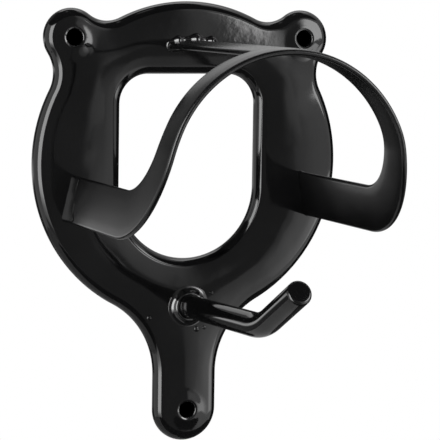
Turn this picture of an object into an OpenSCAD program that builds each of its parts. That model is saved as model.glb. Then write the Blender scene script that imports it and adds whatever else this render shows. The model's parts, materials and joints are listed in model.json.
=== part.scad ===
// Bridle rack: a pressed wall plate that carries a rolled strap arch and a bent rod hook, all welded.
// Millimetres. X is across, -Y is out of the wall towards the viewer and Z is up.
// The origin lies on the plate's front face, midway between the two upper screw holes.

/* [Wall plate] */
// Diameter of the round body of the plate
disc_d = 122.8; // [110:0.2:136]
// Distance between the two upper screw holes
screw_span = 92.6; // [84:0.2:100]
// Height of the upper screw holes above the centre of the round body
screw_rise = 47.5; // [44:0.5:54]
// Diameter of the round ear about each upper screw hole
ear_d = 21.8; // [18:0.2:26]
// Radius of the hollow between an ear and the top of the round body
top_notch_r = 11.8; // [8:0.2:16]
// Radius of the hollow between an ear and the side of the round body
side_notch_r = 14; // [10:0.5:18]
// Width of the tail below the round body
tail_w = 25.4; // [20:0.2:30]
// Distance from the centre of the round body down to the tail's screw hole
tail_drop = 95.7; // [88:0.1:110]
// Radius of the hollow where the round body runs into the tail
neck_r = 31.7; // [24:0.1:36]
// Diameter of each screw hole
screw_hole_d = 7; // [5:0.5:9]
// Depth of the pressing, from the wall to its front face
plate_depth = 5; // [4.5:0.1:8]
// Thickness of the sheet that the plate is pressed from
sheet_t = 2.5; // [1.5:0.1:3.5]
// Radius of the rolled front edges of the plate
edge_r = 4.2; // [3:0.1:4.4]

/* [Plate opening] */
// Width of the opening
opening_w = 54.8; // [44:0.2:60]
// Height of the opening's flat top above the centre of the round body
opening_rise = 33.8; // [28:0.2:37]
// Radius of the opening's two top corners
opening_corner_r = 11.3; // [6:0.1:18]
// Distance of the centre of the opening's round bottom below the centre of the round body
opening_low = 9.7; // [4:0.1:14]

/* [Arch] */
// Radius of the arch, to the middle of the strap
arch_r = 43.2; // [40:0.1:46]
// Height of the arch's centre above the centre of the round body
arch_rise = 2.2; // [0:0.1:4]
// Distance from the plate's face to the front edge of the arch
arch_reach = 99.4; // [85:0.1:115]
// Thickness of the strap
strap_t = 2.8; // [1.5:0.1:4]
// Width of the strap over the arch
band_w = 14; // [10:0.5:17]
// Height of each leg where it runs back to the plate
leg_h = 17.3; // [12:0.1:20]
// Distance of a leg's top edge below the centre of the round body
leg_low = 4; // [2:0.1:8]
// Angle by which the legs lean outwards below the rolled part of the arch
lean_angle = 12; // [2:0.5:14]
// Angle by which the legs rise towards the front
leg_angle = 0.5; // [0:0.1:3]
// Radius of the inner corner between a leg and the arch
bend_in_r = 24; // [14:0.5:28]
// Radius of the outer corner between a leg and the arch
bend_out_r = 40; // [30:0.5:46]
// Width of the tongue from the top of the arch back to the plate
tongue_w = 19.4; // [14:0.2:26]

/* [Hook] */
// Diameter of the hook's rod
rod_d = 9; // [6:0.5:11]
// Gap round the rod in the plate's hole
rod_gap = 0.1; // [0.05:0.05:0.3]
// Distance of the hook's foot below the centre of the round body
hook_low = 55.2; // [50:0.1:62]
// Angle by which the hook's shank rises from level
shank_angle = 3; // [0:0.5:8]
// Angle by which the hook's tip rises from level
tip_angle = 27.5; // [20:0.5:60]
// Length of the shank from the plate to the point of the bend
shank_len = 76; // [60:1:90]
// Length of the tip from the point of the bend to its end
tip_len = 36.5; // [30:0.5:55]
// Radius of the bend, to the middle of the rod
hook_bend_r = 39; // [15:1:40]
// Radius of the rounding on the tip's end
tip_edge_r = 1.2; // [0.5:0.1:2.5]

/* [Welds] */
// Size of the fillet weld round each leg
leg_weld_size = 3; // [1:0.1:3.5]
// Size of the fillet weld round the tongue
tongue_weld_size = 2; // [1:0.1:3]
// Size of the fillet weld round the hook's foot
hook_weld_size = 3; // [1.5:0.1:4]
// Width of the blunt crest of each weld
weld_crest = 0.4; // [0.2:0.1:0.8]

/* [Hidden] */
// How far each cut runs past what it cuts
overrun = 1;
// Least sideways share of a ray, so that an upright one still has a far side
ray_floor_share = 0.0001;
// Thickness of the two slices that a leg's weld is stretched between
weld_slice = 0.05;
// Straight steps in a quarter turn of a small, a middling and a large arc
small_steps = 8;
middle_steps = 12;
large_steps = 18;
// Straight steps in the rolled edge of the plate, in the hook's bend and in the rounding of its tip
edge_steps = 3;
bend_steps = 6;
tip_steps = 3;
// Sides of the hook's rod
rod_sides = 32;
$fn = 64;
coat = "#1b1b1d";
disc_z = -screw_rise;
disc_r = disc_d / 2;
ear_r = ear_d / 2;
tail_r = tail_w / 2;
ear_at = [screw_span / 2, screw_rise];
tail_at = [0, -tail_drop];
opening_r = opening_w / 2;
// Centres of the hollows that join the round body, an ear and the tail
top_notch_at = meet([0, 0], disc_r + top_notch_r, ear_at, ear_r + top_notch_r, 1);
side_notch_at = meet([0, 0], disc_r + side_notch_r, ear_at, ear_r + side_notch_r, -1);
neck_at = [tail_r + neck_r, -sqrt(pow(disc_r + neck_r, 2) - pow(tail_r + neck_r, 2))];
arch_z = disc_z + arch_rise;
leg_top_z = disc_z - leg_low;
leg_bottom_z = leg_top_z - leg_h;
// Height at which the rolled part of the arch runs into a straight, leaning leg
lean_z = arch_z + arch_r * sin(lean_angle);
hook_z = disc_z - hook_low;
rod_r = rod_d / 2;
bend_angle = tip_angle - shank_angle;
bend_tangent = hook_bend_r * tan(bend_angle / 2);

function direction(v) = atan2(v.y, v.x);
function wrap(a) = a - 360 * floor(a / 360);
// Points of an arc without its end, where turn is 1 for anticlockwise and -1 for clockwise
function arc(c, r, from, to, turn, steps) =
    let (sweep = wrap(turn * (to - from)), n = max(2, ceil(sweep / 90 * steps)))
    [for (i = [0 : n - 1]) let (a = from + turn * sweep * i / n) c + r * [cos(a), sin(a)]];
// Point at given distances from two centres, on one side of the line between them
function meet(c0, r0, c1, r1, side) =
    let (
        v = c1 - c0,
        d = norm(v),
        a = (r0 * r0 - r1 * r1 + d * d) / (2 * d),
        h = sqrt(max(0, r0 * r0 - a * a))
    )
    c0 + a * v / d + side * h * [-v.y, v.x] / d;
// A right half from the top to the bottom of the middle line, and its mirror image
function both_halves(half) = concat(half, [for (i = [len(half) - 2 : -1 : 1]) [-half[i].x, half[i].y]]);
// Outline of the plate, moved inwards by d
function plate_outline(d) =
    let (
        to_top_notch = direction(top_notch_at),
        ear_to_top = direction(top_notch_at - ear_at),
        ear_to_side = direction(side_notch_at - ear_at),
        to_side_notch = direction(side_notch_at),
        to_neck = direction(neck_at)
    )
    both_halves(concat(
        arc([0, 0], disc_r - d, 90, to_top_notch, -1, large_steps),
        arc(top_notch_at, top_notch_r + d, to_top_notch + 180, ear_to_top + 180, 1, small_steps),
        arc(ear_at, ear_r - d, ear_to_top, ear_to_side, -1, small_steps),
        arc(side_notch_at, side_notch_r + d, ear_to_side + 180, to_side_notch + 180, 1, small_steps),
        arc([0, 0], disc_r - d, to_side_notch, to_neck, -1, large_steps),
        arc(neck_at, neck_r + d, to_neck + 180, 180, 1, middle_steps),
        [[tail_r - d, neck_at.y]],
        arc(tail_at, tail_r - d, 0, -90, -1, small_steps),
        [tail_at - [0, tail_r - d]]
    ));
// Distance along a unit ray from the origin to the far side of a circle
function ray_to_circle(u, c, r) = u * c + sqrt(max(0, pow(u * c, 2) - c * c + r * r));
// Point of the opening's outline, moved outwards by d, on a unit ray from the disc's centre
function opening_point(u, d) =
    let (
        corner_at = [opening_r - opening_corner_r, opening_rise - opening_corner_r],
        side = [abs(u.x), u.y],
        low = ray_to_circle(side, [0, -opening_low], opening_r + d),
        corner = ray_to_circle(side, corner_at, opening_corner_r + d),
        wall = (opening_r + d) / max(side.x, ray_floor_share),
        reach = low * side.y <= -opening_low ? low
            : wall * side.y <= corner_at.y ? wall
            : corner * side.x >= corner_at.x ? corner
            : (opening_rise + d) / side.y
    )
    reach * u;
// Outline of the opening, moved outwards by d, with a point for each point of the plate's front edge
function opening_outline(d) = [for (p = plate_outline(edge_r)) opening_point(p / norm(p), d)];
// Outline at a distance from the wall
function at_depth(outline, depth) = [for (p = outline) [p.x, plate_depth - depth, disc_z + p.y]];
function edge_depth(i) = plate_depth - edge_r + edge_r * sin(90 * i / edge_steps);
function edge_inset(i) = edge_r * (1 - cos(90 * i / edge_steps));

// Closed ring of sheet through a round of outlines that have the same number of points
module ring_of_sheet(outlines) {
    n = len(outlines[0]);
    m = len(outlines);
    polyhedron(
        points = [for (outline = outlines) each outline],
        faces = [
            for (j = [0 : m - 1], i = [0 : n - 1])
                let (next = (i + 1) % n, up = (j + 1) % m)
                each [
                    [j * n + i, j * n + next, up * n + next],
                    [j * n + i, up * n + next, up * n + i],
                ]
        ]
    );
}

// Turns an outline drawn as distance from the plate and height into a slab that covers the right half
module sideways() {
    half_w = 2 * arch_r;
    translate([half_w, 0, 0]) rotate([90, 0, -90]) linear_extrude(half_w) children();
}

// Turns the frame so that +Z runs along the hook's shank from its foot on the plate
module at_hook() {
    translate([0, 0, hook_z]) rotate([90 - shank_angle, 0, 0]) children();
}

// Turns the frame so that +Z is the arch's axis, from the plate's face, and Y runs up the right leg
module at_arch() {
    translate([0, 0, arch_z]) rotate([90, 0, 0]) rotate([0, 0, lean_angle]) children();
}

// Rolled part of the strap's sheet, from one leg to the other
module rolled_sheet() {
    at_arch() rotate_extrude(angle = 180 - 2 * lean_angle)
        translate([arch_r - strap_t / 2, 0]) square([strap_t, arch_reach]);
}

// Distance along the leaning sheet from the rolled part down to a height
function lean_run(z) = (lean_z - z) / cos(lean_angle);

// Straight part of the strap's sheet on the right
module leaning_sheet() {
    run = lean_run(leg_bottom_z - overrun);
    at_arch() translate([arch_r - strap_t / 2, -run, 0]) cube([strap_t, run, arch_reach]);
}

// Centre of a corner that runs from a leg's sloping edge into an upright edge
function corner_at(r, edge_z, upright) =
    [upright - r, edge_z + (upright - r) * tan(leg_angle) + r / cos(leg_angle)];

// Side view of the strap: a leg, its wide round corner and the upright band
module strap_outline() {
    high_z = arch_z + arch_r + strap_t;
    band_back = arch_reach - band_w;
    along_leg = leg_angle - 90;
    polygon(concat(
        [[0, leg_bottom_z]],
        arc(corner_at(bend_out_r, leg_bottom_z, arch_reach), bend_out_r, along_leg, 0, 1, middle_steps),
        [[arch_reach, high_z], [band_back, high_z]],
        arc(corner_at(bend_in_r, leg_top_z, band_back), bend_in_r, 0, along_leg, -1, middle_steps),
        [[0, leg_top_z]]
    ));
}

// Right leg with the lower part of its corner
module leg() {
    intersection() {
        leaning_sheet();
        sideways() strap_outline();
    }
}

// Space that the tongue takes up, from the plate to the middle of the band and from a given side
module tongue_space(from_x) {
    run = arch_reach - band_w / 2;
    translate([from_x, -run, arch_z]) cube([tongue_w / 2 - from_x, run, arch_r + strap_t]);
}

// Right half of the strap: half of the band and of the tongue, and the leg
module half_arch() {
    intersection() {
        rolled_sheet();
        union() {
            sideways() strap_outline();
            tongue_space(0);
        }
    }
    leg();
}

// Block on the right leg's foot that is wider than the leg by a margin all round
module round_foot(margin, from, thickness) {
    w = strap_t + 2 * margin;
    h = lean_run(leg_bottom_z) - lean_run(leg_top_z) + 2 * margin;
    at_arch() translate([arch_r - w / 2, -lean_run(leg_bottom_z) - margin, from]) cube([w, h, thickness]);
}

// Bead of weld round a leg's foot, with the leg cut out of it
module leg_weld() {
    difference() {
        hull() {
            round_foot(leg_weld_size, 0, weld_slice);
            round_foot(weld_crest, leg_weld_size - weld_slice, weld_slice);
        }
        leg();
    }
}

module wall_plate() {
    pocket = plate_depth - sheet_t;
    color(coat) difference() {
        ring_of_sheet(concat(
            [at_depth(plate_outline(0), 0)],
            [for (i = [0 : edge_steps]) at_depth(plate_outline(edge_inset(i)), edge_depth(i))],
            [for (i = [edge_steps : -1 : 0]) at_depth(opening_outline(edge_inset(i)), edge_depth(i))],
            [at_depth(opening_outline(0), 0), at_depth(opening_outline(sheet_t), 0)],
            [at_depth(opening_outline(sheet_t), pocket), at_depth(plate_outline(sheet_t), pocket)],
            [at_depth(plate_outline(sheet_t), 0)]
        ));
        for (at = [ear_at, [-ear_at.x, ear_at.y], tail_at])
            translate([at.x, plate_depth + overrun, disc_z + at.y]) rotate([90, 0, 0])
                cylinder(h = plate_depth + 2 * overrun, d = screw_hole_d);
        at_hook() translate([0, 0, -plate_depth]) cylinder(h = plate_depth + overrun, r = rod_r + rod_gap);
    }
}

module bridle_arch() {
    color(coat) for (side = [0, 1]) mirror([side, 0, 0]) half_arch();
}

// One unbroken rod: each ring is a place on the middle line, its lean and its radius
module rein_hook() {
    shank_run = shank_len - bend_tangent;
    tip_run = tip_len - bend_tangent;
    bend_end = [hook_bend_r * (1 - cos(bend_angle)), shank_run + hook_bend_r * sin(bend_angle)];
    along_tip = [sin(bend_angle), cos(bend_angle)];
    bend = [
        for (i = [0 : bend_steps]) let (a = bend_angle * i / bend_steps)
            [[hook_bend_r * (1 - cos(a)), shank_run + hook_bend_r * sin(a)], a, rod_r]
    ];
    tip = [
        for (i = [0 : tip_steps]) let (a = 90 * i / tip_steps)
            [
                bend_end + along_tip * (tip_run - tip_edge_r * (1 - sin(a))),
                bend_angle,
                rod_r - tip_edge_r * (1 - cos(a)),
            ]
    ];
    rings = concat([[[0, -sheet_t], 0, rod_r]], bend, tip);
    last = (len(rings) - 1) * rod_sides;
    color(coat) at_hook() polyhedron(
        points = [
            for (ring = rings, k = [0 : rod_sides - 1])
                let (t = 360 * k / rod_sides, across = ring[2] * cos(t), up = ring[2] * sin(t))
                [across, ring[0].x + up * cos(ring[1]), ring[0].y - up * sin(ring[1])]
        ],
        faces = concat(
            [[for (k = [0 : rod_sides - 1]) k]],
            [[for (k = [rod_sides - 1 : -1 : 0]) last + k]],
            [
                for (j = [0 : len(rings) - 2], k = [0 : rod_sides - 1])
                    let (a = j * rod_sides + k, b = j * rod_sides + (k + 1) % rod_sides)
                    each [[a, b + rod_sides, b], [a, a + rod_sides, b + rod_sides]]
            ]
        )
    );
}

module left_leg_weld() {
    color(coat) mirror([1, 0, 0]) leg_weld();
}

module right_leg_weld() {
    color(coat) leg_weld();
}

module tongue_weld() {
    end_angle = asin(tongue_w / 2 / arch_r) + asin(tongue_weld_size / arch_r);
    inner_r = arch_r - strap_t / 2;
    outer_r = arch_r + strap_t / 2;
    color(coat) difference() {
        at_arch() rotate([0, 0, 90 - lean_angle - end_angle]) rotate_extrude(angle = 2 * end_angle)
            polygon([
                [inner_r - tongue_weld_size, 0],
                [outer_r + tongue_weld_size, 0],
                [outer_r + weld_crest, tongue_weld_size],
                [inner_r - weld_crest, tongue_weld_size],
            ]);
        intersection() {
            rolled_sheet();
            tongue_space(-tongue_w / 2);
        }
    }
}

module hook_weld() {
    color(coat) difference() {
        translate([0, 0, hook_z]) rotate([90, 0, 0]) rotate_extrude() polygon([
            [0, 0],
            [rod_r + hook_weld_size, 0],
            [rod_r + weld_crest, hook_weld_size],
            [0, hook_weld_size],
        ]);
        at_hook() translate([0, 0, -overrun]) cylinder(h = hook_weld_size + 2 * overrun, r = rod_r);
    }
}

wall_plate();
bridle_arch();
rein_hook();
left_leg_weld();
right_leg_weld();
tongue_weld();
hook_weld();
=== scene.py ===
# %% [markdown]
# # A bridle rack in gloss black
# The real object is a small wall rack for a stable. A pressed steel plate with two ears and a tail
# carries a rolled strap arch, on which the bridle's headpiece hangs, and a bent rod hook for the
# reins. Everything is welded, then coated in thick gloss black. This lesson loads the measured
# model and dresses each piece.

# %% Load the measured model
import json
import math
import bpy
import numpy as np
from mathutils import Matrix, Vector
from mathutils.geometry import delaunay_2d_cdt


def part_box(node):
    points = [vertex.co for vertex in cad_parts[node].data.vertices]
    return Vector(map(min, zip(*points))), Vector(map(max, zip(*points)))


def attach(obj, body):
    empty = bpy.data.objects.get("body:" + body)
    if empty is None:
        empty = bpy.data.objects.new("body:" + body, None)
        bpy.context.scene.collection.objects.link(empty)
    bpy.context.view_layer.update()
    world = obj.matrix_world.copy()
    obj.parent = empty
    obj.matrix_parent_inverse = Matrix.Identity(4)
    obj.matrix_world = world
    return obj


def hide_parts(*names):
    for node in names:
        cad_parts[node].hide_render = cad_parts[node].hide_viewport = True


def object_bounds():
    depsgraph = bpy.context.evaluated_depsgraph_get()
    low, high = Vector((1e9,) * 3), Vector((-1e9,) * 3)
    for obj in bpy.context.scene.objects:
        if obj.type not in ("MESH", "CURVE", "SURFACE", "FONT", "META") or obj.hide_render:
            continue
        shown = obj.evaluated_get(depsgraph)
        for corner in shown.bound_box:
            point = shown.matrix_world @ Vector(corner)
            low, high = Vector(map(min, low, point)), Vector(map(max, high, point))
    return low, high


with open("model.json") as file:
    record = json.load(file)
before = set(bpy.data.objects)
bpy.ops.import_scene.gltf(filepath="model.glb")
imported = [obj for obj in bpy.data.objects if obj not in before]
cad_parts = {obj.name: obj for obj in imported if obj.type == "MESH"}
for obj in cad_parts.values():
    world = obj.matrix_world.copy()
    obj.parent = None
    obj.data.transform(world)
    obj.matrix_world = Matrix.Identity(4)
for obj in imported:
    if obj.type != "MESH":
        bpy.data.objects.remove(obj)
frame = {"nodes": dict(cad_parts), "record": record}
cad_low, cad_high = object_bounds()
MM = 0.001
print("measured nodes:", sorted(frame["nodes"]))

# %% [markdown]
# ## The camera
# A rack like this is photographed from far away with a long lens, a little from the left and from
# above. Blender could aim a camera with a constraint, but three angles and a distance say the same
# thing openly: the camera's own right, up and back directions come from them, and they fill its
# matrix.

# %% Camera
VIEW_AZIMUTH = math.radians(-21.1)
VIEW_ELEVATION = math.radians(6.4)
VIEW_ROLL = math.radians(0.87)
VIEW_DISTANCE = 782.5 * MM
# Where the lens's axis passes the middle of the round body, to the right of it and above it
AIM_RIGHT = 13.25 * MM
AIM_UP = -22.34 * MM
SENSOR_WIDTH = 36.0
LENS = 166.75
# The upper screw holes lie this far above the middle of the round body
SCREW_RISE = 47.5 * MM
mounts = {mount["name"]: mount for mount in frame["record"]["mounts"]}
plate_low, plate_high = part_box("wall_plate")
disc_z = mounts["upper_screws"]["pos_m"][2] - SCREW_RISE


def camera_axes():
    """Right, up and back of a camera that is turned about Z, tipped down and then rolled."""
    level_right = Vector((math.cos(VIEW_AZIMUTH), math.sin(VIEW_AZIMUTH), 0))
    back = Vector((math.sin(VIEW_AZIMUTH) * math.cos(VIEW_ELEVATION),
                   -math.cos(VIEW_AZIMUTH) * math.cos(VIEW_ELEVATION), math.sin(VIEW_ELEVATION)))
    level_up = back.cross(level_right)
    right = level_right * math.cos(VIEW_ROLL) + level_up * math.sin(VIEW_ROLL)
    return right, back.cross(right), back


camera_data = bpy.data.cameras.new("camera")
camera_data.sensor_width = SENSOR_WIDTH
camera_data.lens = LENS
camera = bpy.data.objects.new("camera", camera_data)
bpy.context.scene.collection.objects.link(camera)
bpy.context.scene.camera = camera
right, up, back = camera_axes()
aim = Vector((0, plate_high.y, disc_z)) + right * AIM_RIGHT + up * AIM_UP
turned = Matrix((right, up, back)).transposed().to_4x4()
camera.matrix_world = Matrix.Translation(aim + back * VIEW_DISTANCE) @ turned
print("camera at", [round(x, 4) for x in camera.location])

# %% [markdown]
# ## The gloss coat
# The steel is coated in black that has flowed out thick and shiny. Its colour is close to nothing,
# so what the eye reads is the studio mirrored in it: the fine dimples of the coat, its slow waves,
# and places where it dried a little duller. Beside the tongue's weld the heat left small ripples,
# and on the welds and in the screw holes the coat has gathered and mirrors more. A picture texture
# could hold all this, but noise in the object's own coordinates keeps its true scale on every
# piece and needs no unwrapping.

# %% Noise, bumps and fades
# Most of a noise lies between these two values
NOISE_LOW = 0.3
NOISE_HIGH = 0.7


def noise(tree, place, scale, detail):
    """A noise texture of a given scale, in bumps per metre, on the object's own coordinates."""
    node = tree.nodes.new("ShaderNodeTexNoise")
    node.inputs["Scale"].default_value = scale
    node.inputs["Detail"].default_value = detail
    tree.links.new(place, node.inputs["Vector"])
    return node.outputs["Fac"]


def spread(tree, value, low, high):
    """Stretches the middle of a noise over a range from low to high."""
    node = tree.nodes.new("ShaderNodeMapRange")
    node.inputs["From Min"].default_value = NOISE_LOW
    node.inputs["From Max"].default_value = NOISE_HIGH
    node.inputs["To Min"].default_value = low
    node.inputs["To Max"].default_value = high
    tree.links.new(value, node.inputs["Value"])
    return node.outputs["Result"]


def bump(tree, height, distance, normal=None):
    """Leans the surface as if it rose by the height times a distance, on top of an earlier lean."""
    node = tree.nodes.new("ShaderNodeBump")
    node.inputs["Distance"].default_value = distance
    tree.links.new(height, node.inputs["Height"])
    if normal:
        tree.links.new(normal, node.inputs["Normal"])
    return node.outputs["Normal"]


def fade(tree, place, middle, near, far, inner, outer):
    """Runs smoothly from an inner to an outer value between two distances from a middle."""
    apart = tree.nodes.new("ShaderNodeVectorMath")
    apart.operation = "DISTANCE"
    apart.inputs[1].default_value = middle
    tree.links.new(place, apart.inputs[0])
    run = tree.nodes.new("ShaderNodeMapRange")
    run.interpolation_type = "SMOOTHSTEP"
    run.inputs["From Min"].default_value = near
    run.inputs["From Max"].default_value = far
    run.inputs["To Min"].default_value = inner
    run.inputs["To Max"].default_value = outer
    tree.links.new(apart.outputs["Value"], run.inputs["Value"])
    return run.outputs["Result"]


def combine(tree, operation, one, other):
    """Two values joined by one step of arithmetic."""
    node = tree.nodes.new("ShaderNodeMath")
    node.operation = operation
    tree.links.new(one, node.inputs[0])
    tree.links.new(other, node.inputs[1])
    return node.outputs[0]


print("noise is stretched from", NOISE_LOW, "to", NOISE_HIGH)

# %% Coat material
DARK_COAT = (0.0026, 0.0026, 0.0028, 1)
PALE_COAT = (0.0062, 0.0062, 0.0066, 1)
COAT_IOR = 1.5
# On the welds and in the holes the coat gathers, cures harder and mirrors more
THICK_COAT_IOR = 1.8
DIMPLE_SCALE = 420.0
WAVE_SCALE = 55.0
PATCH_SCALE = 38.0
RIPPLE_SCALE = 330.0
RIPPLE = 0.07 * MM
# The tongue's weld ended beside its right end: the coat is rippled there and smooth further off
HEAT_BESIDE = 9 * MM
HEAT_NEAR = 5 * MM
HEAT_FAR = 17 * MM
tongue_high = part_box("tongue_weld")[1]
heat_at = Vector((tongue_high.x + HEAT_BESIDE, 0, tongue_high.z))
# Numbers of a Mix node's two colour inputs and of its colour output
MIX_ONE = 6
MIX_OTHER = 7
MIXED = 2


def gloss_coat(name, smooth, dull, dimple, wave, ior=COAT_IOR):
    """Near-black coat: noise moves colour and roughness; bumps are waves, ripples and dimples."""
    material = bpy.data.materials.new(name)
    material.use_nodes = True
    tree = material.node_tree
    shader = tree.nodes["Principled BSDF"]
    shader.inputs["IOR"].default_value = ior
    place = tree.nodes.new("ShaderNodeTexCoord").outputs["Object"]
    patches = noise(tree, place, PATCH_SCALE, detail=4)
    shade = tree.nodes.new("ShaderNodeMix")
    shade.data_type = "RGBA"
    shade.inputs[MIX_ONE].default_value = DARK_COAT
    shade.inputs[MIX_OTHER].default_value = PALE_COAT
    tree.links.new(spread(tree, patches, 0, 1), shade.inputs["Factor"])
    tree.links.new(shade.outputs[MIXED], shader.inputs["Base Color"])
    tree.links.new(spread(tree, patches, smooth, dull), shader.inputs["Roughness"])
    heat = fade(tree, place, heat_at, HEAT_NEAR, HEAT_FAR, 1, 0)
    ripples = combine(tree, "MULTIPLY", noise(tree, place, RIPPLE_SCALE, detail=3), heat)
    lean = bump(tree, noise(tree, place, WAVE_SCALE, detail=1), wave)
    lean = bump(tree, ripples, RIPPLE, lean)
    lean = bump(tree, noise(tree, place, DIMPLE_SCALE, detail=2), dimple, lean)
    tree.links.new(lean, shader.inputs["Normal"])
    return material


sheet_coat = gloss_coat("gloss_black_on_sheet", smooth=0.05, dull=0.10,
                        dimple=0.004 * MM, wave=0.15 * MM)
strap_coat = gloss_coat("gloss_black_on_strap", smooth=0.18, dull=0.26,
                        dimple=0.004 * MM, wave=0.03 * MM)
weld_coat = gloss_coat("gloss_black_on_welds", smooth=0.06, dull=0.12,
                       dimple=0.008 * MM, wave=0.06 * MM, ior=THICK_COAT_IOR)
print("materials:", [material.name for material in (sheet_coat, strap_coat, weld_coat)])

# %% [markdown]
# ## Helpers for surfaces
# Each piece is a set of rows of points that a mesh joins with four-cornered faces. Where an edge
# runs round holes and hollows, as on the plate, the rows follow each edge and an even lattice fills
# the space between them. Sculpting or a boolean could do the same, but rows keep a rounded edge
# perfectly even, and a mirror finish shows every unevenness.

# %% Lines, arcs and loops
# Fewest points of an arc
ARC_LEAST = 3


def line(start, end, gap):
    """Even points from one place to another, without the last one."""
    start, end = np.asarray(start, float), np.asarray(end, float)
    count = max(1, math.ceil(np.linalg.norm(end - start) / gap))
    return start + np.linspace(0, 1, count, endpoint=False)[:, None] * (end - start)


def arc(centre, radius, start, end, gap):
    """Even points of an arc, without the last one: the centre plus radius times (cos a, sin a)."""
    count = max(ARC_LEAST, math.ceil(abs(end - start) * radius / gap))
    a = np.linspace(start, end, count, endpoint=False)
    return np.asarray(centre) + radius * np.column_stack([np.cos(a), np.sin(a)])


def leftwards(loop):
    """Unit direction to the left of the way round a closed loop, at each of its points."""
    step = np.roll(loop, -1, 0) - np.roll(loop, 1, 0)
    step /= np.linalg.norm(step, axis=1, keepdims=True)
    return np.column_stack([-step[:, 1], step[:, 0]])


def distance_to(points, loop):
    """Distance from each point to the nearest side of a closed loop."""
    side = np.roll(loop, -1, 0) - loop
    apart = points[:, None] - loop
    share = np.clip((apart * side).sum(2) / (side ** 2).sum(1), 0, 1)
    return np.linalg.norm(apart - share[..., None] * side, axis=2).min(1)


def inside(points, loops):
    """True for a point from which a ray to the right crosses the loops an odd number of times."""
    start = np.vstack(loops)
    end = np.vstack([np.roll(loop, -1, 0) for loop in loops])
    rise = np.where(end[:, 1] == start[:, 1], 1, end[:, 1] - start[:, 1])
    height = points[:, 1, None]
    crossing = start[:, 0] + (height - start[:, 1]) * (end[:, 0] - start[:, 0]) / rise
    passes = (start[:, 1] > height) != (end[:, 1] > height)
    return (passes & (points[:, 0, None] < crossing)).sum(1) % 2 == 1


print("a line of ten gaps has", len(line((0, 0), (10 * MM, 0), MM)), "points")

# %% Fills between loops
# Height of a lattice row, and how near a lattice point may lie to an edge, in gaps
LATTICE_ROW = 0.866
EDGE_CLEAR = 0.6
# A triangle smaller than this share of a lattice square lies along a straight edge, outside it
SLIVER = 0.001
CONVEX_HULL = 0
SAME_PLACE = 1e-9


def fill(loops, gap):
    """Points and triangles between loops: the loops' own points, then an even lattice in them."""
    edge = np.vstack(loops)
    low, high = edge.min(0), edge.max(0)
    across, upward = np.meshgrid(np.arange(low[0], high[0], gap),
                                 np.arange(low[1], high[1], gap * LATTICE_ROW))
    across[1::2] += gap / 2
    lattice = np.column_stack([across.ravel(), upward.ravel()])
    lattice = lattice[inside(lattice, loops)]
    nearest = np.min([distance_to(lattice, loop) for loop in loops], axis=0)
    points = np.vstack([edge, lattice[nearest > EDGE_CLEAR * gap]])
    counts = [len(loop) for loop in loops]
    first = np.repeat(np.cumsum([0] + counts[:-1]), counts)
    step = np.arange(len(edge)) - first
    after = first + (step + 1) % np.repeat(counts, counts)
    sides = np.column_stack([np.arange(len(edge)), after])
    made = delaunay_2d_cdt(points.tolist(), sides.tolist(), [], CONVEX_HULL, SAME_PLACE)
    triangles = np.array(made[2])
    corners = points[triangles]
    one, other = corners[:, 1] - corners[:, 0], corners[:, 2] - corners[:, 0]
    area = np.abs(one[:, 0] * other[:, 1] - one[:, 1] * other[:, 0]) / 2
    kept = inside(corners.mean(1), loops) & (area > SLIVER * gap ** 2)
    return points, triangles[kept]


round_fill = fill([arc((0, 0), 10 * MM, 0, 2 * math.pi, MM)], MM)
print("a disc of ten gaps fills with", len(round_fill[1]), "triangles")

# %% Rows of faces and finished pieces


def strip(one, other, around):
    """Four-cornered faces between two closed rows, given the number of each row's first point."""
    place = np.arange(around)
    after = (place + 1) % around
    corners = [one + place, one + after, other + after, other + place]
    return np.stack(corners, -1).reshape(-1, 4)


def bands(rows, around, first=0, joined=False):
    """Strips between neighbouring closed rows and, if joined, from the last row to the first."""
    row = np.arange(rows if joined else rows - 1)[:, None]
    return strip(first + row * around, first + (row + 1) % rows * around, around)


def piece(name, node, points, faces, material):
    """A smooth closed mesh, faces outwards, which rides on the rack and stands for a CAD node."""
    mesh = bpy.data.meshes.new(name)
    mesh.from_pydata(points.tolist(), [], faces)
    made = bpy.data.objects.new(name, mesh)
    bpy.context.scene.collection.objects.link(made)
    bpy.context.view_layer.objects.active = made
    bpy.ops.object.mode_set(mode="EDIT")
    bpy.ops.mesh.select_all(action="SELECT")
    bpy.ops.mesh.normals_make_consistent(inside=False)
    bpy.ops.object.mode_set(mode="OBJECT")
    mesh.shade_smooth()
    mesh.materials.append(material)
    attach(made, "root")
    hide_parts(node)
    edges = np.zeros(len(mesh.loops), np.int32)
    mesh.loops.foreach_get("edge_index", edges)
    open_sides = (np.bincount(edges) != 2).sum()
    print(name, len(mesh.vertices), "points,", len(mesh.polygons), "faces,",
          open_sides, "open sides")
    return made


def second_coat(made, chosen, material):
    """Gives the chosen faces of a finished piece a second material."""
    made.data.materials.append(material)
    made.data.polygons.foreach_set("material_index", chosen.astype(np.int32))
    print(made.name, "has", chosen.sum(), "faces in", material.name)


print("three rows of eight points have", len(bands(3, 8)), "faces")

# %% [markdown]
# ## The wall plate
# The plate is pressed from 2.5 mm sheet: a round body with two ears and a tail, a window with a
# round bottom, and edges rolled back to the wall. Its outline is a chain of arcs that touch. A
# curve with handles would come close, but arcs keep each round edge true, so the chain is walked
# once, on the right half, and mirrored.

# %% Outline of the plate
EAR_R = 10.9 * MM
TOP_NOTCH_R = 11.8 * MM
SIDE_NOTCH_R = 14 * MM
TAIL_R = 12.7 * MM
NECK_R = 31.7 * MM
OUTLINE_GAP = 1.0 * MM
disc_r = (plate_high.x - plate_low.x) / 2
ear_at = np.array([mounts["upper_screws"]["dims"]["spacing_x_mm"] * MM / 2, SCREW_RISE])
tail_at = np.array([0, mounts["tail_screw"]["pos_m"][2] - disc_z])


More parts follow.
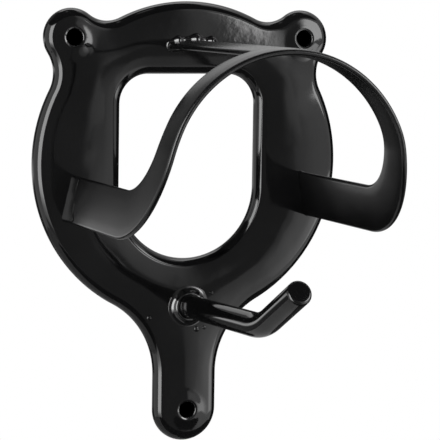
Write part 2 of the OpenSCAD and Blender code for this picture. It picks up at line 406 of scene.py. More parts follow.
def meet(radius, centre, other, side):
    """Point at one distance from the middle of the body and at another from a centre beside it."""
    far = np.linalg.norm(centre)
    share = (radius ** 2 - other ** 2 + far ** 2) / (2 * far)
    across = side * math.sqrt(radius ** 2 - share ** 2)
    return (share * centre + across * np.array([-centre[1], centre[0]])) / far


def direction(v):
    """Angle of a direction in the plane of the plate."""
    return math.atan2(v[1], v[0])


def both_halves(half):
    """A right half, top to bottom, and its mirror image as one loop, with the sheet on its left."""
    return np.vstack([half, half[-2:0:-1] * [-1, 1]])[::-1]


def plate_outline():
    """Arcs that touch: body, hollow, ear, hollow, body, neck and tail, from the top downwards."""
    top_notch = meet(disc_r + TOP_NOTCH_R, ear_at, EAR_R + TOP_NOTCH_R, 1)
    side_notch = meet(disc_r + SIDE_NOTCH_R, ear_at, EAR_R + SIDE_NOTCH_R, -1)
    neck_x = TAIL_R + NECK_R
    neck = np.array([neck_x, -math.sqrt((disc_r + NECK_R) ** 2 - neck_x ** 2)])
    to_top, to_side, to_neck = direction(top_notch), direction(side_notch), direction(neck)
    ear_top, ear_side = direction(top_notch - ear_at), direction(side_notch - ear_at)
    centre = np.zeros(2)
    half = np.vstack([
        arc(centre, disc_r, math.pi / 2, to_top, OUTLINE_GAP),
        arc(top_notch, TOP_NOTCH_R, to_top - math.pi, ear_top - math.pi, OUTLINE_GAP),
        arc(ear_at, EAR_R, ear_top, ear_side, OUTLINE_GAP),
        arc(side_notch, SIDE_NOTCH_R, ear_side + math.pi, to_side + math.pi, OUTLINE_GAP),
        arc(centre, disc_r, to_side, to_neck, OUTLINE_GAP),
        arc(neck, NECK_R, to_neck + math.pi, math.pi, OUTLINE_GAP),
        line((TAIL_R, neck[1]), (TAIL_R, tail_at[1]), OUTLINE_GAP),
        arc(tail_at, TAIL_R, 0, -math.pi / 2, OUTLINE_GAP),
        [tail_at - [0, TAIL_R]],
    ])
    return both_halves(half)


outline = plate_outline()
print("outline of", len(outline), "points,", np.round(np.ptp(outline, axis=0) / MM, 1), "mm")

# %% [markdown]
# ### The window and the screw holes
# The press punches a large window out of the plate, flat on top and round below, and three holes
# for screws. A boolean could cut them out, but as loops of points they can carry rounded edges of
# their own. The coat has run into the screw holes and left them a little narrower.

# %% Outlines of the window and of the screw holes
OPENING_R = 27.4 * MM
OPENING_RISE = 33.8 * MM
OPENING_CORNER_R = 11.3 * MM
OPENING_LOW = 9.7 * MM
HOLE_COAT = 0.3 * MM
HOLE_GAP = 0.5 * MM
screw_r = mounts["upper_screws"]["dims"]["hole_r_mm"] * MM


def opening_outline():
    """A flat top with two round corners, straight sides and half a circle below."""
    corner = np.array([OPENING_R - OPENING_CORNER_R, OPENING_RISE - OPENING_CORNER_R])
    half = np.vstack([
        line((0, OPENING_RISE), (corner[0], OPENING_RISE), OUTLINE_GAP),
        arc(corner, OPENING_CORNER_R, math.pi / 2, 0, OUTLINE_GAP),
        line((OPENING_R, corner[1]), (OPENING_R, -OPENING_LOW), OUTLINE_GAP),
        arc((0, -OPENING_LOW), OPENING_R, 0, -math.pi / 2, OUTLINE_GAP),
        [(0, -OPENING_LOW - OPENING_R)],
    ])
    return both_halves(half)[::-1]


opening = opening_outline()
hole_centres = np.array([ear_at, ear_at * [-1, 1], tail_at])
hole_r = screw_r - HOLE_COAT
holes = [arc(at, hole_r, 2 * math.pi, 0, HOLE_GAP) for at in hole_centres]
print("window", np.round(np.ptp(opening, axis=0) / MM, 1), "mm, holes of", len(holes[0]), "points")

# %% [markdown]
# ### The rolled edge
# Every outer edge of the sheet, and the window's edge too, is rolled back, so that a rim stands on
# the wall and the back is hollow. A bevel could round the edge but not hollow the back. So the
# whole section is drawn as arcs, as distances inwards from the outline and back from the face.

# %% Section of the edge
EDGE_R = 4.2 * MM
SHEET_T = 2.5 * MM
BACK_EDGE_R = 0.5 * MM
POCKET_FILLET = 1.2 * MM
CROWN_ANGLE = math.radians(6)
CROWN_RUN = 13.2 * MM
# A fill starts this far from the end of a row of arcs
FACE_START = 0.4 * MM
EDGE_ROWS = 17
BACK_ROWS = 3
FILLET_ROWS = 6
plate_depth = plate_high.y - plate_low.y


def quarter(centre, radius, start, end, rows):
    """Arc of a section, as how far it lies inside the outline and how deep behind the face."""
    a = np.linspace(start, end, rows)
    return np.asarray(centre) + radius * np.column_stack([-np.cos(a), -np.sin(a)])


def crown_rise(apart):
    """Rise of the face at a distance from the rolled edge: a parabola that ends level."""
    share = np.clip(apart / CROWN_RUN, 0, 1)
    return math.tan(CROWN_ANGLE) * CROWN_RUN * (share - share ** 2 / 2)


def edge_section():
    """From the crowned face round the roll, over the rim on the wall and into the hollow back."""
    floor = plate_depth - SHEET_T
    rim = plate_depth - BACK_EDGE_R
    roll = quarter((EDGE_R, EDGE_R), EDGE_R, math.pi / 2 - CROWN_ANGLE, 0, EDGE_ROWS)
    pocket = SHEET_T + POCKET_FILLET
    return np.vstack([
        roll[0] + [FACE_START, -crown_rise(FACE_START)],
        roll,
        quarter((BACK_EDGE_R, rim), BACK_EDGE_R, 0, -math.pi / 2, BACK_ROWS),
        quarter((SHEET_T - BACK_EDGE_R, rim), BACK_EDGE_R, -math.pi / 2, -math.pi, BACK_ROWS),
        quarter((pocket, floor + POCKET_FILLET), POCKET_FILLET, 0, math.pi / 2, FILLET_ROWS),
        [(pocket + FACE_START, floor)],
    ])


section = edge_section()
face_inset = section[0][0]
roll_inset, roll_depth = section[1]
print("section of", len(section), "rows, crown", round(crown_rise(CROWN_RUN) / MM, 2), "mm")

# %% [markdown]
# ### Crown, rises and twist of the face
# Thick sheet springs back after pressing, so the bars are slightly crowned. The punch pushed the
# face up round each screw hole, and the heat of the left foot's weld twisted the bar beside it.
# None of this is as much as a millimetre high, but a mirror finish shows it. It could be sculpted
# by hand, but as formulas of the place on the plate each part can be tuned alone.

# %% Heights of the face
DOME_R = 7.8 * MM
DOME_RISE = 0.9 * MM
DOME_FADE = 2.5 * MM
# The ears lean back a little, so that the top of each ear's rise lies below its hole
DOME_LOW = 1.2 * MM
# Slope of the twist, how far right of the left foot it is, and its reach across and along the bar
WARP = math.radians(2.4)
WARP_BESIDE = 12 * MM
WARP_REACH = np.array([13, 22]) * MM
foot_low, foot_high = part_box("left_leg_weld")
warp_at = np.array([(foot_low.x + foot_high.x) / 2 + WARP_BESIDE,
                    (foot_low.z + foot_high.z) / 2 - disc_z])


def crown(points):
    """Depth of the face behind the plane that touches it, from the distance to the nearest edge."""
    apart = np.minimum(distance_to(points, outline), distance_to(points, opening)) - roll_inset
    return roll_depth - crown_rise(apart)


def dome(points):
    """Rise of the face round each screw hole: (1 - r squared) squared, nil at the rolled edge."""
    tops = hole_centres - [[0, DOME_LOW], [0, DOME_LOW], [0, 0]]
    share = np.clip(np.linalg.norm(points[:, None] - tops, axis=2).min(1) / DOME_R, 0, 1)
    ease = np.clip((distance_to(points, outline) - face_inset) / DOME_FADE, 0, 1)
    return DOME_RISE * (1 - share ** 2) ** 2 * ease ** 2 * (3 - 2 * ease)


def warp(points):
    """Fall of the face to the right: a slope times the way across, under a bell curve."""
    apart = points - warp_at
    return math.tan(WARP) * apart[:, 0] * np.exp(-((apart / WARP_REACH) ** 2).sum(1))


print("rises", np.round(dome(hole_centres) / MM, 2), "mm at the middles of the holes")

# %% [markdown]
# ### The screw holes and the plate's mesh
# In front each screw hole ends in a shallow dish with a rounded lip, and the coat has gathered in
# it. Now everything is joined: a fill is the front face, the rows of the sections hang from each of
# its loops, and a coarser fill closes the hollow back. Merging loose parts by distance could join
# them too, but here each row goes on from the points of the row before it, so that nothing gapes.

# %% Section of a screw hole
# Width of the dish, and of its outer part, which bends down from the face
DISH_W = 0.9 * MM
DISH_START = 0.3 * MM
DISH_ANGLE = math.radians(20)
LIP_R = 0.4 * MM
DISH_ROWS = 6
LIP_ROWS = 8


def hole_section(top, floor):
    """Rows of a hole: a dish that bends down from the face, a lip, the wall and the back edge."""
    slope = math.tan(DISH_ANGLE)
    bend = [(DISH_W - u, top + slope * u ** 2 / (2 * DISH_START))
            for u in np.linspace(0, DISH_START, DISH_ROWS)]
    lip_at = DISH_W - LIP_R * (1 - math.sin(DISH_ANGLE))
    lip_top = top + slope * (lip_at - DISH_START / 2)
    lip = [(LIP_R * (1 - math.sin(a)), lip_top + LIP_R * (math.cos(DISH_ANGLE) - math.cos(a)))
           for a in np.linspace(DISH_ANGLE, math.pi / 2, LIP_ROWS)]
    wall = [(0, floor - BACK_EDGE_R), (BACK_EDGE_R, floor), (BACK_EDGE_R + FACE_START, floor)]
    return bend + lip + wall


print("section of a hole of", len(hole_section(0, plate_depth - SHEET_T)), "rows")

# %% Even heights, and places on the plate
SMOOTHING_ROUNDS = 12
# Heights this near to an edge stay as they are
KEPT_EDGE = 3.0 * MM


def smoothed(depth, triangles, flat, loops):
    """Evens out a height away from its edges: each point moves to the middle of its neighbours."""
    fixed = np.min([distance_to(flat, loop) for loop in loops], axis=0) < KEPT_EDGE
    pairs = np.vstack([triangles[:, [0, 1]], triangles[:, [1, 2]], triangles[:, [2, 0]]])
    pairs = np.vstack([pairs, pairs[:, ::-1]])
    neighbours = np.bincount(pairs[:, 0], minlength=len(depth))
    for _ in range(SMOOTHING_ROUNDS):
        middle = np.bincount(pairs[:, 0], depth[pairs[:, 1]], len(depth)) / neighbours
        depth = np.where(fixed, depth, middle)
    return depth


def on_plate(flat, depth):
    """Places in the plate's plane and their depth behind the front face, as points in space."""
    return np.column_stack([flat[:, 0], depth, disc_z + flat[:, 1]])


print("heights are evened out in", SMOOTHING_ROUNDS, "rounds")

# %% Plate mesh
FACE_GAP = 1.2 * MM
BACK_GAP = 3.0 * MM


def wall_plate():
    """Front face and hollow back as fills, with rows of the edge and of each hole between them."""
    edges = [outline, opening]
    face_loops = [loop + leftwards(loop) * face_inset for loop in edges]
    face_loops += [loop + leftwards(loop) * DISH_W for loop in holes]
    flat, front = fill(face_loops, FACE_GAP)
    depth = smoothed(crown(flat), front, flat, face_loops) - dome(flat)
    points, faces = [on_plate(flat, depth)], [front]
    start, count = 0, len(flat)
    back_loops, back_ends = [], []
    floor = plate_depth - SHEET_T
    for order, loop in enumerate(edges + holes):
        size = len(loop)
        rows = section if order < len(edges) else hole_section(depth[start:start + size], floor)
        grid = np.vstack([on_plate(loop + leftwards(loop) * inset, np.broadcast_to(deep, size))
                          for inset, deep in rows[1:]])
        points.append(grid)
        faces += [strip(start, count, size), bands(len(rows) - 1, size, count)]
        back_loops.append(loop + leftwards(loop) * rows[-1][0])
        back_ends.append(count + (len(rows) - 2) * size + np.arange(size))
        start += size
        count += len(grid)
    back_flat, back_faces = fill(back_loops, BACK_GAP)
    ends = np.concatenate(back_ends)
    inner = len(back_flat) - len(ends)
    renumber = np.concatenate([ends, count + np.arange(inner)])
    points.append(on_plate(back_flat[len(ends):], np.full(inner, floor)))
    faces.append(renumber[back_faces])
    points = np.vstack(points)
    points[:, 1] += warp(points[:, [0, 2]] - [0, disc_z]) * (1 - points[:, 1] / plate_depth)
    return points, [face for group in faces for face in group.tolist()]


plate = piece("gloss_wall_plate", "wall_plate", *wall_plate(), sheet_coat)
middles = np.zeros(3 * len(plate.data.polygons), np.float32)
plate.data.polygons.foreach_get("center", middles)
middles = middles.reshape(-1, 3)[:, [0, 2]] - [0, disc_z]
to_hole = np.linalg.norm(middles[:, None] - hole_centres, axis=2).min(1)
second_coat(plate, to_hole < hole_r + DISH_W - DISH_START, weld_coat)

# %% [markdown]
# ## The arch
# The arch is one strap of flat sheet: cut to an E, with a tongue in the middle and a leg at each
# end, and rolled over a form, so that the legs lean outwards below the roll. It is drawn flat, as
# the strap lay before rolling, with the way round the roll as one axis and the distance from the
# plate as the other. A Simple Deform modifier could bend it, but one function that rolls the flat
# drawing into space keeps the strap's thickness everywhere.

# %% The roll of the strap
STRAP_T = 2.8 * MM
# The roll's middle lies this far above the middle of the round body
ARCH_RISE = 2.2 * MM
LEAN = math.radians(12)
arch_low, arch_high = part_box("bridle_arch")
arch_z = disc_z + ARCH_RISE
arch_r = arch_high.z - arch_z - STRAP_T / 2
lean_turn = math.pi / 2 - LEAN
lean_z = arch_z + arch_r * math.sin(LEAN)


def rolled(flat, lift):
    """Way round the roll and distance from the plate, lifted off the strap's middle, in space."""
    turn = np.clip(flat[:, 0] / arch_r, -lean_turn, lean_turn)
    straight = flat[:, 0] - turn * arch_r
    x = (arch_r + lift) * np.sin(turn) + straight * np.cos(turn)
    z = arch_z + (arch_r + lift) * np.cos(turn) - straight * np.sin(turn)
    return np.column_stack([x, -flat[:, 1], z])


def girth_at(z):
    """Way round the roll from its top down to a height, on the right."""
    on_roll = arch_r * np.arccos(np.clip((z - arch_z) / arch_r, -1, 1))
    return np.where(z > lean_z, on_roll, arch_r * lean_turn + (lean_z - z) / math.cos(LEAN))


print("roll radius", round(arch_r / MM, 2), "mm")

# %% [markdown]
# ### The flat drawing
# Each leg leaves the band on a round corner. The corner is a true arc when the rack is seen from
# the side, so the leg is drawn from the side and unrolled into the flat. It could be drawn straight
# in the flat, but then the corner would come out lopsided. Only the right half is drawn, and the
# left half is its mirror image.

# %% Side view of a leg
BAND_W = 14 * MM
LEG_H = 17.3 * MM
# The top of each foot lies this far below the middle of the round body
LEG_LOW = 4 * MM
LEG_RISE = math.radians(0.5)
BEND_IN_R = 24 * MM
BEND_OUT_R = 40 * MM
# How far the feet sink into the plate, and the radius of their corners
ROOT_SINK = 2.2 * MM
ROOT_R = 1.6 * MM
STRAP_GAP = 0.9 * MM
arch_reach = -arch_low.y
band_back = arch_reach - BAND_W
leg_top = disc_z - LEG_LOW
leg_bottom = leg_top - LEG_H


def corner_at(radius, edge_z, upright):
    """Centre of a corner that runs from a leg's slightly rising edge into an upright edge."""
    away = upright - radius
    return np.array([away, edge_z + away * math.tan(LEG_RISE) + radius / math.cos(LEG_RISE)])


def leg_side(edge_z, corner, radius, upright_end):
    """An edge of a leg seen from the side, from the plate to its corner, then up the corner."""
    along = LEG_RISE - math.pi / 2
    end = corner + radius * np.array([math.cos(along), math.sin(along)])
    start = ROOT_R - ROOT_SINK
    seen = np.vstack([
        line((start, edge_z + start * math.tan(LEG_RISE)), end, STRAP_GAP),
        arc(corner, radius, along, 0, STRAP_GAP),
        [(upright_end, corner[1])],
    ])
    return np.column_stack([girth_at(seen[:, 1]), seen[:, 0]])


print("legs from a height of", round(leg_bottom / MM, 1), "to", round(leg_top / MM, 1), "mm")

# %% Flat drawing of the strap
TONGUE_HALF = 9.7 * MM
TONGUE_FILLET = 2.5 * MM


def strap_outline():
    """Right half from the front of the band round the leg to the tongue, and its mirror image."""
    low_corner = corner_at(BEND_OUT_R, leg_bottom, arch_reach)
    high_corner = corner_at(BEND_IN_R, leg_top, band_back)
    low = leg_side(leg_bottom, low_corner, BEND_OUT_R, arch_reach)
    high = leg_side(leg_top, high_corner, BEND_IN_R, band_back)
    fillet = np.array([TONGUE_HALF + TONGUE_FILLET, band_back - TONGUE_FILLET])
    low_root, high_root = low[0] - [ROOT_R, 0], high[0] + [ROOT_R, 0]
    tongue_root = np.array([TONGUE_HALF - ROOT_R, ROOT_R - ROOT_SINK])
    half = np.vstack([
        line((0, arch_reach), low[-1], STRAP_GAP),
        low[:0:-1],
        arc(low_root, ROOT_R, 0, -math.pi / 2, STRAP_GAP / 2),
        line(low_root - [0, ROOT_R], high_root - [0, ROOT_R], STRAP_GAP),
        arc(high_root, ROOT_R, -math.pi / 2, -math.pi, STRAP_GAP / 2),
        high,
        line(high[-1], (fillet[0], band_back), STRAP_GAP)[1:],
        arc(fillet, TONGUE_FILLET, math.pi / 2, math.pi, STRAP_GAP / 2),
        line((TONGUE_HALF, fillet[1]), (TONGUE_HALF, tongue_root[1]), STRAP_GAP),
        arc(tongue_root, ROOT_R, 0, -math.pi / 2, STRAP_GAP / 2),
        line(tongue_root - [0, ROOT_R], (0, -ROOT_SINK), STRAP_GAP),
        [(0, -ROOT_SINK)],
    ])
    return both_halves(half)


strap = strap_outline()
print("flat strap", np.round(np.ptp(strap, axis=0) / MM, 1), "mm, of", len(strap), "points")

# %% [markdown]
# ### The strap's mesh
# The strap is slightly crowned on both faces and rounded along its edges. Solidify and Bevel would
# come close, but they leave the faces flat. One lattice serves both faces, lifted to either side of
# the strap's middle, and the rows of the rounded edge join them.

# %% Strap mesh
STRAP_EDGE_R = 1.0 * MM
STRAP_CROWN = math.radians(5)
STRAP_CROWN_RUN = 8 * MM
STRAP_FACE_GAP = 1.1 * MM
STRAP_FACE_START = 0.3 * MM
STRAP_EDGE_ROWS = 9


def bridle_arch():
    """Both crowned faces as one lattice, lifted to either side, and a rounded edge between them."""
    inward = leftwards(strap)
    slope = math.tan(STRAP_CROWN)
    turn = np.linspace(math.pi / 2 - STRAP_CROWN, 0, STRAP_EDGE_ROWS)
    inset = STRAP_EDGE_R * (1 - np.cos(turn))
    rise = STRAP_T / 2 - slope * STRAP_CROWN_RUN / 2 - STRAP_EDGE_R * math.sin(turn[0])
    lift = rise + STRAP_EDGE_R * np.sin(turn)
    face_loop = strap + inward * (inset[0] + STRAP_FACE_START)
    flat, triangles = fill([face_loop], STRAP_FACE_GAP)
    size, count = len(strap), len(flat)
    share = np.clip((distance_to(flat, strap) - inset[0]) / STRAP_CROWN_RUN, 0, 1)
    face = lift[0] + slope * STRAP_CROWN_RUN * (share - share ** 2 / 2)
    face = smoothed(face, triangles, flat, [face_loop])
    insets = np.concatenate([inset, inset[-2::-1]])
    lifts = np.concatenate([lift, -lift[-2::-1]])
    rows = [rolled(strap + inward * a, b) for a, b in zip(insets, lifts)]
    points = np.vstack([rolled(flat, face), rolled(flat, -face), *rows])
    first, last = 2 * count, 2 * count + (len(rows) - 1) * size
    faces = [
        triangles,
        triangles[:, ::-1] + count,
        strip(0, first, size),
        bands(len(rows), size, first),
        strip(last, count, size),
    ]
    return points, [face for group in faces for face in group.tolist()]


piece("gloss_bridle_arch", "bridle_arch", *bridle_arch(), strap_coat)

# %% [markdown]
# ## The rein hook
# The hook is a length of round rod, bent upwards once and cut off square, with the cut softened by
# the coat. A curve with a round bevel would give the same tube, but rings computed one after
# another also carry the rounding of both ends, and each end closes in a single point.

# %% Rings of the hook
ROD_R = 4.5 * MM
BEND_ANGLE = math.radians(24.5)
SHANK_LEN = 76 * MM
TIP_LEN = 36.5 * MM
HOOK_BEND_R = 39 * MM
TIP_EDGE_R = 1.2 * MM
# The foot stands this far out of the sheet's back
FOOT_PROUD = 0.2 * MM
END_ROWS = 7
SHANK_ROWS = 12
BEND_ROWS = 25
TIP_ROWS = 5


def hook_rings():
    """Way along the shank, rise above it, lean and radius of each ring, from foot to tip."""
    tangent = HOOK_BEND_R * math.tan(BEND_ANGLE / 2)
    bend = np.linspace(0, BEND_ANGLE, BEND_ROWS)
    turn = np.linspace(0, math.pi / 2, END_ROWS)
    end = TIP_LEN - tangent
    foot = -SHEET_T - FOOT_PROUD
    bend_start = SHANK_LEN - tangent
    shank = np.concatenate([foot + TIP_EDGE_R * (1 - np.cos(turn)),
                            np.linspace(0, bend_start, SHANK_ROWS)[:-1]])
    tip = np.concatenate([np.linspace(0, end - TIP_EDGE_R, TIP_ROWS)[1:-1],
                          end - TIP_EDGE_R * (1 - np.sin(turn))])
    bend_out = bend_start + HOOK_BEND_R * np.sin(bend)
    bend_up = HOOK_BEND_R * (1 - np.cos(bend))
    along = np.concatenate([[foot], shank, bend_out, bend_out[-1] + tip * math.cos(BEND_ANGLE)])
    rise = np.concatenate([[0], 0 * shank, bend_up, bend_up[-1] + tip * math.sin(BEND_ANGLE)])
    lean = np.concatenate([[0], 0 * shank, bend, 0 * tip + BEND_ANGLE])
    radius = np.full(len(along), ROD_R)
    radius[0] = 0
    radius[1:1 + END_ROWS] = ROD_R - TIP_EDGE_R * (1 - np.sin(turn))
    radius[-END_ROWS:] = ROD_R - TIP_EDGE_R * (1 - np.cos(turn))
    along = np.append(along, along[-1])
    return along, np.append(rise, rise[-1]), np.append(lean, lean[-1]), np.append(radius, 0)


print("hook of", len(hook_rings()[0]), "rings")

# %% Hook mesh
# The hook's foot lies this far below the middle of the round body
HOOK_LOW = 55.2 * MM
SHANK_ANGLE = math.radians(3)
ROD_SIDES = 72
hook_z = disc_z - HOOK_LOW


def capped(grid):
    """Points and faces of a row of rings, the first and the last of which are single points."""
    sides = grid.shape[1]
    rings = grid[1:-1].reshape(-1, 3)
    place = np.arange(sides)
    after = (place + 1) % sides
    last = len(rings) - sides
    faces = bands(len(grid) - 2, sides).tolist()
    faces += np.column_stack([after, place, 0 * place + len(rings)]).tolist()
    faces += np.column_stack([last + place, last + after, 0 * place + len(rings) + 1]).tolist()
    return np.vstack([rings, grid[0, 0], grid[-1, 0]]), faces


def rein_hook():
    """Rings across the rod's middle line, closed by a point at either end."""
    along, rise, lean, radius = (row[:, None] for row in hook_rings())
    a = np.linspace(0, 2 * math.pi, ROD_SIDES, endpoint=False)
    x = radius * np.cos(a)
    over = rise + radius * np.sin(a) * np.cos(lean)
    out = along - radius * np.sin(a) * np.sin(lean)
    y = -out * math.cos(SHANK_ANGLE) + over * math.sin(SHANK_ANGLE)
    z = hook_z + out * math.sin(SHANK_ANGLE) + over * math.cos(SHANK_ANGLE)
    return capped(np.stack([x, y, z], -1))


piece("gloss_rein_hook", "rein_hook", *rein_hook(), sheet_coat)

# %% [markdown]
# ## The welds
# The strap's two feet, its tongue and the hook are welded to the plate all round. Each weld is a
# profile carried along a closed path, and its size wanders, because no torch moves evenly.
# Sculpting could do this too, but a formula closes on itself and can be tuned with one number.

# %% Bead of weld
BEAD_GAP = 0.3 * MM
CAP_ROWS = 16
# Waves of a bead's size in one way round, the share of each, and how far a phase moves each
BEAD_WAVES = np.array([2, 5, 9])
BEAD_WAVE_SHARES = np.array([1, 1, 0.4])
BEAD_WAVE_PHASES = np.array([1, 2, 3])


def capsule(curve, normal, apart):
    """Closed path at one distance round an open curve, with half a circle about each end of it."""
    turn = np.linspace(0, math.pi, CAP_ROWS, endpoint=False)[:, None]
    ahead = np.column_stack([normal[:, 1], -normal[:, 0]])
    path = np.vstack([
        curve + apart * normal,
        curve[-1] + apart * (np.cos(turn) * normal[-1] + np.sin(turn) * ahead[-1]),
        curve[::-1] - apart * normal[::-1],
        curve[0] - apart * (np.cos(turn) * normal[0] + np.sin(turn) * ahead[0]),
    ])
    run = np.append(0, np.cumsum(np.linalg.norm(np.roll(path, -1, 0) - path, axis=1)))
    closed = np.vstack([path, path[:1]])
    places = np.linspace(0, run[-1], math.ceil(run[-1] / BEAD_GAP), endpoint=False)
    return np.column_stack([np.interp(places, run, column) for column in closed.T])


def wander(path, lumps, phase):
    """Size along a closed path: one plus sine waves that each fit the way round exactly."""
    run = np.cumsum(np.linalg.norm(np.roll(path, -1, 0) - path, axis=1))
    turn = 2 * math.pi * run / run[-1]
    waves = np.sin(np.outer(turn, BEAD_WAVES) + phase * BEAD_WAVE_PHASES)
    return 1 + lumps * (BEAD_WAVE_SHARES * waves).sum(1)


def bead(path, profile, size):
    """A closed profile, out from a clockwise path and up from the plate, carried along the path."""
    outward = leftwards(path)
    size = size[:, None]
    out, rise = profile.T
    x = path[:, :1] + size * out * outward[:, :1]
    z = path[:, 1:] + size * out * outward[:, 1:]
    y = -np.where(rise > 0, size, 1) * rise
    points = np.stack([x, y, z], -1).reshape(-1, 3)
    return points, bands(len(path), len(profile), joined=True).tolist()


print("a bead has a profile every", BEAD_GAP / MM, "mm")

# %% [markdown]
# ### The welds of the legs
# The metal runs up each foot further than it spreads on the plate, and the torch reaches the inner
# side of a leg badly. A swept half round would look glued on. So the profile is a collar that
# leaves the foot gently and turns into the plate on a small arc, and it is smaller on the inside.

# %% Leg welds
COLLAR_RISE = 10 * MM
COLLAR_OUT = 0.4 * MM
COLLAR_SINK = 0.05 * MM
TOE_R = 1.2 * MM
TOE_SINK = 0.4 * MM
FLANK_ROWS = 15
TOE_ROWS = 9
LEG_LUMPS = 0.09
# Angles that say where the lumps of each weld fall
LEFT_PHASE = 0.4
RIGHT_PHASE = 1.9
# Share of the weld's size that is left on the inner side of a leg
INNER_SHARE = 0.15


def collar():
    """Profile that leaves a foot on a third power of the way down and ends on a small arc."""
    share = np.linspace(0, 1, FLANK_ROWS)
    flank = np.column_stack([(COLLAR_OUT + COLLAR_SINK) * share ** 3 - COLLAR_SINK,
                             COLLAR_RISE + (TOE_R - COLLAR_RISE) * share])
    a = np.linspace(0, math.pi / 2, TOE_ROWS)[1:]
    toe = np.column_stack([COLLAR_OUT + TOE_R * (1 - np.cos(a)),
                           TOE_R * (1 - np.sin(a)) - TOE_SINK * np.sin(a)])
    buried = [(COLLAR_OUT + TOE_R, -SHEET_T / 2), (-COLLAR_SINK, -SHEET_T / 2)]
    return np.vstack([flank, toe, buried])


def leg_bead(side, phase):
    """Path round a leg's foot: a straight line down the middle of the strap, with rounded ends."""
    z = np.array([leg_top - STRAP_T / 2, leg_bottom + STRAP_T / 2])[::side]
    x = side * (arch_r * math.cos(LEAN) + (lean_z - z) * math.tan(LEAN))
    normal = np.tile([side * math.cos(LEAN), math.sin(LEAN)], (2, 1))
    path = capsule(np.column_stack([x, z]), normal, STRAP_T / 2)
    outside = (1 + side * leftwards(path)[:, 0]) / 2
    size = wander(path, LEG_LUMPS, phase) * (INNER_SHARE + (1 - INNER_SHARE) * outside)
    return bead(path, collar(), size)


piece("gloss_left_leg_weld", "left_leg_weld", *leg_bead(-1, LEFT_PHASE), strap_coat)
piece("gloss_right_leg_weld", "right_leg_weld", *leg_bead(1, RIGHT_PHASE), strap_coat)

# %% [markdown]
# ### The weld of the tongue
# Round the tongue's foot the bead is a low oval, with lumps above it where the torch paused, and it
# thins out round the two ends. Spheres stuck on the bead could be the lumps, but a bell curve that
# swells the bead leaves no crease between them.

# %% Tongue weld
BEAD_SIDES = 32
TONGUE_BEAD_W = 2.6 * MM
TONGUE_BEAD_H = 2.4 * MM
BEAD_MIDDLE = 0.4 * MM
TONGUE_LUMPS = 0.05
TONGUE_PHASE = 0.9
TONGUE_ROWS = 41
# Where the torch paused above the tongue, how far each lump reaches and how much metal it holds
PAUSES = np.array([-5.5, 1.7, 7.8]) * MM
PAUSE_REACH = np.array([1.3, 2.1, 1.5]) * MM
PAUSE_SWELL = np.array([0.6, 1.1, 0.9])
# Share of the bead's size that is missing round the two ends of the tongue
END_LOSS = 0.45


def oval(width, height, middle):
    """Profile of a bead that bulges: an oval about a middle that lies above the plate."""
    a = np.linspace(0, 2 * math.pi, BEAD_SIDES, endpoint=False)
    return np.column_stack([width / 2 * np.cos(a), middle + height / 2 * np.sin(a)])


def tongue_bead():
    """Path round the tongue's foot, which is a short arc of the roll."""
    turn = np.linspace(-1, 1, TONGUE_ROWS) * (TONGUE_HALF - STRAP_T / 2) / arch_r
    normal = np.column_stack([np.sin(turn), np.cos(turn)])
    path = capsule([0, arch_z] + arch_r * normal, normal, STRAP_T / 2)
    above = path[:, 1] > arch_z + arch_r * np.cos(path[:, 0] / arch_r)
    swell = (PAUSE_SWELL * np.exp(-((path[:, :1] - PAUSES) / PAUSE_REACH) ** 2)).sum(1) * above
    ends = np.clip((np.abs(path[:, 0]) - TONGUE_HALF) / STRAP_T + 1, 0, 1)
    size = wander(path, TONGUE_LUMPS, TONGUE_PHASE) + swell - END_LOSS * ends
    return bead(path, oval(TONGUE_BEAD_W, TONGUE_BEAD_H, BEAD_MIDDLE), size)


piece("gloss_tongue_weld", "tongue_weld", *tongue_bead(), weld_coat)

# %% [markdown]
# ### The weld of the hook
# Round the hook the weld has a round crest beside the rod and a hollow toe that runs out level on
# the plate. A torus would meet the plate at a hard corner instead. A few drops of metal spattered
# beside it. They belong to the same weld, so they are in its mesh, and their coat is duller.

# %% Profile and drops of the hook's weld
HOOK_CREST_R = 0.9 * MM
HOOK_TOE_R = 2.6 * MM
HOOK_FLANK = math.radians(62)
CREST_ROWS = 20
HOOK_TOE_ROWS = 16
# Each drop's distance to the right of the hook's foot and above it, and its radius
DROPS = np.array([
    [3.4, -9.0, 1.2],
    [6.6, -8.6, 0.8],
    [-15.8, -4.0, 1.0],
    [9.3, 4.8, 0.8],
]) * MM
DROP_RISE_SHARE = 0.5
DROP_ROWS = 9
DROP_SIDES = 16


def ring_profile():
    """A round crest beside the rod, then a hollow toe of a larger arc that meets the face level."""
    height = (HOOK_CREST_R + HOOK_TOE_R) * (1 - math.cos(HOOK_FLANK))
    over = np.linspace(-math.pi / 2, HOOK_FLANK, CREST_ROWS)
    crest = np.column_stack([HOOK_CREST_R * np.sin(over),
                             height - HOOK_CREST_R * (1 - np.cos(over))])
    ease = np.linspace(HOOK_FLANK, 0, HOOK_TOE_ROWS)[1:]
    far = (HOOK_CREST_R + HOOK_TOE_R) * math.sin(HOOK_FLANK)
    toe = np.column_stack([far - HOOK_TOE_R * np.sin(ease), HOOK_TOE_R * (1 - np.cos(ease))])
    buried = [(far, -SHEET_T / 2), (-HOOK_CREST_R, -SHEET_T / 2)]
    return np.vstack([crest, toe, buried])


def drop(x, z, radius):
    """A flattened sphere that is half sunk into the plate."""
    tilt = np.linspace(-math.pi / 2, math.pi / 2, DROP_ROWS)[:, None]
    a = np.linspace(0, 2 * math.pi, DROP_SIDES, endpoint=False)
    rise = DROP_RISE_SHARE * np.sin(tilt) + 0 * a
    ball = np.stack([np.cos(tilt) * np.cos(a), -rise, np.cos(tilt) * np.sin(a)], -1)
    return capped(radius * ball + [x, 0, z])


print("profile of", len(ring_profile()), "points,", len(DROPS), "drops")

# %% Hook weld
HOOK_LUMPS = 0.03
HOOK_PHASE = 2.6
HOOK_BEAD_OUT = 0.5 * MM


